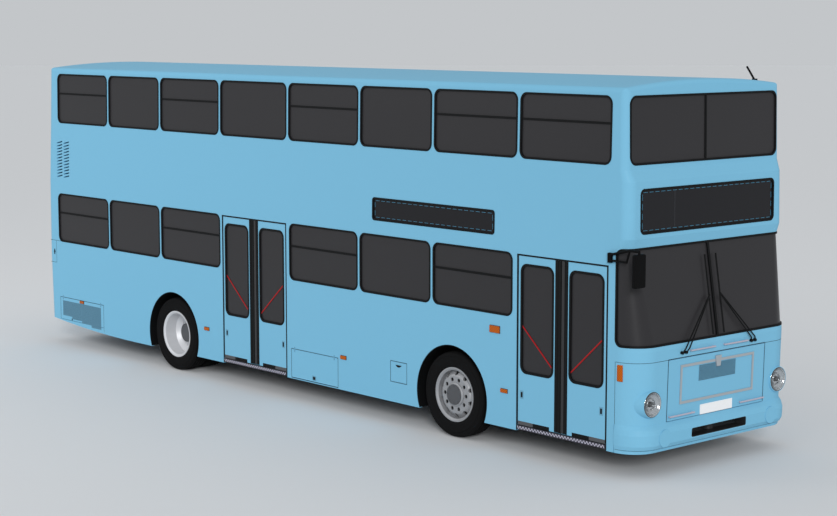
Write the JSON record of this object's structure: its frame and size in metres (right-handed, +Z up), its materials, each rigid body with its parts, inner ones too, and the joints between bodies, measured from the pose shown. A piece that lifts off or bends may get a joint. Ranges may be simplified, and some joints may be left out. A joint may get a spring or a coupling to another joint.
{
  "type": "double decker bus",
  "caption": "City double decker bus with steered front wheels, twin rear wheels, inward swinging double doors and hinged hatches.",
  "frame": {"origin": "on the ground under the middle of the bus", "axes": "+X forwards, +Y to the left, +Z up"},
  "size_m": [11.38, 2.758, 4.1096],
  "materials": {
    "body_paint": "gloss light blue",
    "glass": "dark tinted",
    "black_rubber": "satin black",
    "tyre": "matt black",
    "wheel_silver": "silver",
    "chassis_steel": "satin dark grey",
    "floor_covering": "fine grained sheet",
    "dark_plastic": "fine grain",
    "seat_fabric": "woven",
    "pole_metal": "satin",
    "amber_plastic": "clear amber",
    "red_plastic": "clear red"
  },
  "bodies": {
    "body": {"side_wall_right": "body_paint", "side_wall_left": "body_paint", "roof": "body_paint", "front_mask": "body_paint", "front_dome": "body_paint", "rear_wall": "body_paint", "bumpers": "body_paint", "windscreen": "glass", "deck_glass": "glass", "headlamps": "glass", "window_rubbers": "black_rubber", "chassis_rails": "chassis_steel", "cross_members": "chassis_steel", "axles": "chassis_steel", "engine": "chassis_steel", "floor_boxes": "chassis_steel", "lower_floor": "floor_covering", "upper_floor": "floor_covering", "staircase": "floor_covering", "fascia": "dark_plastic", "sign_boxes": "dark_plastic", "mirrors": "dark_plastic", "wipers": "dark_plastic", "aerial": "dark_plastic", "seat_cushions": "seat_fabric", "seat_backs": "seat_fabric", "uprights": "pole_metal", "side_lamps": "amber_plastic", "tail_lamps": "red_plastic"},
    "knuckle_left": {"knuckle_left": "chassis_steel"},
    "knuckle_right": {"knuckle_right": "chassis_steel"},
    "tie_rod": {"tie_rod": "chassis_steel"},
    "steering_wheel": {"steering_wheel": "dark_plastic"},
    "front_wheel_left": {"front_tyre_left": "tyre", "front_rim_left": "wheel_silver"},
    "front_wheel_right": {"front_tyre_right": "tyre", "front_rim_right": "wheel_silver"},
    "rear_wheels_left": {"rear_tyres_left": "tyre", "rear_rims_left": "wheel_silver"},
    "rear_wheels_right": {"rear_tyres_right": "tyre", "rear_rims_right": "wheel_silver"},
    "middle_arm_rear": {"middle_arm_rear": "pole_metal"},
    "middle_leaf_rear": {"middle_leaf_rear": "body_paint", "middle_pane_rear": "glass"},
    "middle_arm_fore": {"middle_arm_fore": "pole_metal"},
    "middle_leaf_fore": {"middle_leaf_fore": "body_paint", "middle_pane_fore": "glass"},
    "front_arm_rear": {"front_arm_rear": "pole_metal"},
    "front_leaf_rear": {"front_leaf_rear": "body_paint", "front_pane_rear": "glass"},
    "front_arm_fore": {"front_arm_fore": "pole_metal"},
    "front_leaf_fore": {"front_leaf_fore": "body_paint", "front_pane_fore": "glass"},
    "front_hatch": {"front_hatch": "body_paint"},
    "engine_hatch": {"engine_hatch": "body_paint"},
    "battery_flap": {"battery_flap": "body_paint"},
    "radiator_flap": {"radiator_flap": "body_paint"},
    "filler_flap": {"filler_flap": "body_paint"}
  },
  "joints": [
    {"name": "steer_left", "type": "hinge", "parent": "body", "child": "knuckle_left", "pos_m": [2.885, 0.96, 0.482], "axis": [0, 0, 1], "range_deg": [-40, 40]},
    {"name": "steer_right", "type": "hinge", "parent": "body", "child": "knuckle_right", "pos_m": [2.885, -0.96, 0.482], "axis": [0, 0, 1], "range_deg": [-40, 40]},
    {"name": "tie_rod_turn", "type": "hinge", "parent": "knuckle_left", "child": "tie_rod", "pos_m": [2.735, 0.96, 0.305], "axis": [0, 0, 1], "range_deg": [-40, 40]},
    {"name": "steering_wheel_turn", "type": "hinge", "parent": "body", "child": "steering_wheel", "pos_m": [5.02, 0.7, 1.28], "axis": [-0.4226, 0, 0.9063], "range_deg": [-720, 720]},
    {"name": "front_wheel_left_spin", "type": "hinge", "parent": "knuckle_left", "child": "front_wheel_left", "pos_m": [2.885, 1.087, 0.482], "axis": [0, 1, 0], "continuous": true},
    {"name": "front_wheel_right_spin", "type": "hinge", "parent": "knuckle_right", "child": "front_wheel_right", "pos_m": [2.885, -1.087, 0.482], "axis": [0, 1, 0], "continuous": true},
    {"name": "rear_wheels_left_spin", "type": "hinge", "parent": "body", "child": "rear_wheels_left", "pos_m": [-2.515, 1.087, 0.482], "axis": [0, 1, 0], "continuous": true},
    {"name": "rear_wheels_right_spin", "type": "hinge", "parent": "body", "child": "rear_wheels_right", "pos_m": [-2.515, -1.087, 0.482], "axis": [0, 1, 0], "continuous": true},
    {"name": "middle_arm_rear_swing", "type": "hinge", "parent": "body", "child": "middle_arm_rear", "pos_m": [-1.427, -1.177, 1.2], "axis": [0, 0, 1], "range_deg": [0, 82]},
    {"name": "middle_leaf_rear_turn", "type": "hinge", "parent": "middle_arm_rear", "child": "middle_leaf_rear", "pos_m": [-1.081, -1.177, 1.2], "axis": [0, 0, 1], "range_deg": [-164, 0]},
    {"name": "middle_arm_fore_swing", "type": "hinge", "parent": "body", "child": "middle_arm_fore", "pos_m": [-0.037, -1.177, 1.2], "axis": [0, 0, -1], "range_deg": [0, 82]},
    {"name": "middle_leaf_fore_turn", "type": "hinge", "parent": "middle_arm_fore", "child": "middle_leaf_fore", "pos_m": [-0.383, -1.177, 1.2], "axis": [0, 0, -1], "range_deg": [-164, 0]},
    {"name": "front_arm_rear_swing", "type": "hinge", "parent": "body", "child": "front_arm_rear", "pos_m": [3.874, -1.177, 1.2], "axis": [0, 0, 1], "range_deg": [0, 82]},
    {"name": "front_leaf_rear_turn", "type": "hinge", "parent": "front_arm_rear", "child": "front_leaf_rear", "pos_m": [4.213, -1.177, 1.2], "axis": [0, 0, 1], "range_deg": [-164, 0]},
    {"name": "front_arm_fore_swing", "type": "hinge", "parent": "body", "child": "front_arm_fore", "pos_m": [5.236, -1.177, 1.2], "axis": [0, 0, -1], "range_deg": [0, 82]},
    {"name": "front_leaf_fore_turn", "type": "hinge", "parent": "front_arm_fore", "child": "front_leaf_fore", "pos_m": [4.897, -1.177, 1.2], "axis": [0, 0, -1], "range_deg": [-164, 0]},
    {"name": "front_hatch_swing", "type": "hinge", "parent": "body", "child": "front_hatch", "pos_m": [5.612, 0, 1.188], "axis": [0, -1, 0], "range_deg": [0, 80]},
    {"name": "engine_hatch_swing", "type": "hinge", "parent": "body", "child": "engine_hatch", "pos_m": [-5.641, 0, 1.438], "axis": [0, 1, 0], "range_deg": [0, 75]},
    {"name": "battery_flap_swing", "type": "hinge", "parent": "body", "child": "battery_flap", "pos_m": [0.463, -1.252, 0.627], "axis": [-1, 0, 0], "range_deg": [0, 85]},
    {"name": "radiator_flap_swing", "type": "hinge", "parent": "body", "child": "radiator_flap", "pos_m": [-4.796, -1.252, 0.672], "axis": [-1, 0, 0], "range_deg": [0, 85]},
    {"name": "filler_flap_swing", "type": "hinge", "parent": "body", "child": "filler_flap", "pos_m": [2.002, -1.252, 0.493], "axis": [1, 0, 0], "range_deg": [0, 90]}
  ],
  "couplings": [
    {"joint": "steer_right", "follows": "steer_left", "ratio": 1},
    {"joint": "tie_rod_turn", "follows": "steer_left", "ratio": -1},
    {"joint": "steering_wheel_turn", "follows": "steer_left", "ratio": 18},
    {"joint": "middle_leaf_rear_turn", "follows": "middle_arm_rear_swing", "ratio": -2},
    {"joint": "middle_leaf_fore_turn", "follows": "middle_arm_rear_swing", "ratio": -2},
    {"joint": "middle_arm_fore_swing", "follows": "middle_arm_rear_swing", "ratio": 1},
    {"joint": "front_leaf_rear_turn", "follows": "front_arm_rear_swing", "ratio": -2},
    {"joint": "front_leaf_fore_turn", "follows": "front_arm_rear_swing", "ratio": -2},
    {"joint": "front_arm_fore_swing", "follows": "front_arm_rear_swing", "ratio": 1}
  ]
}
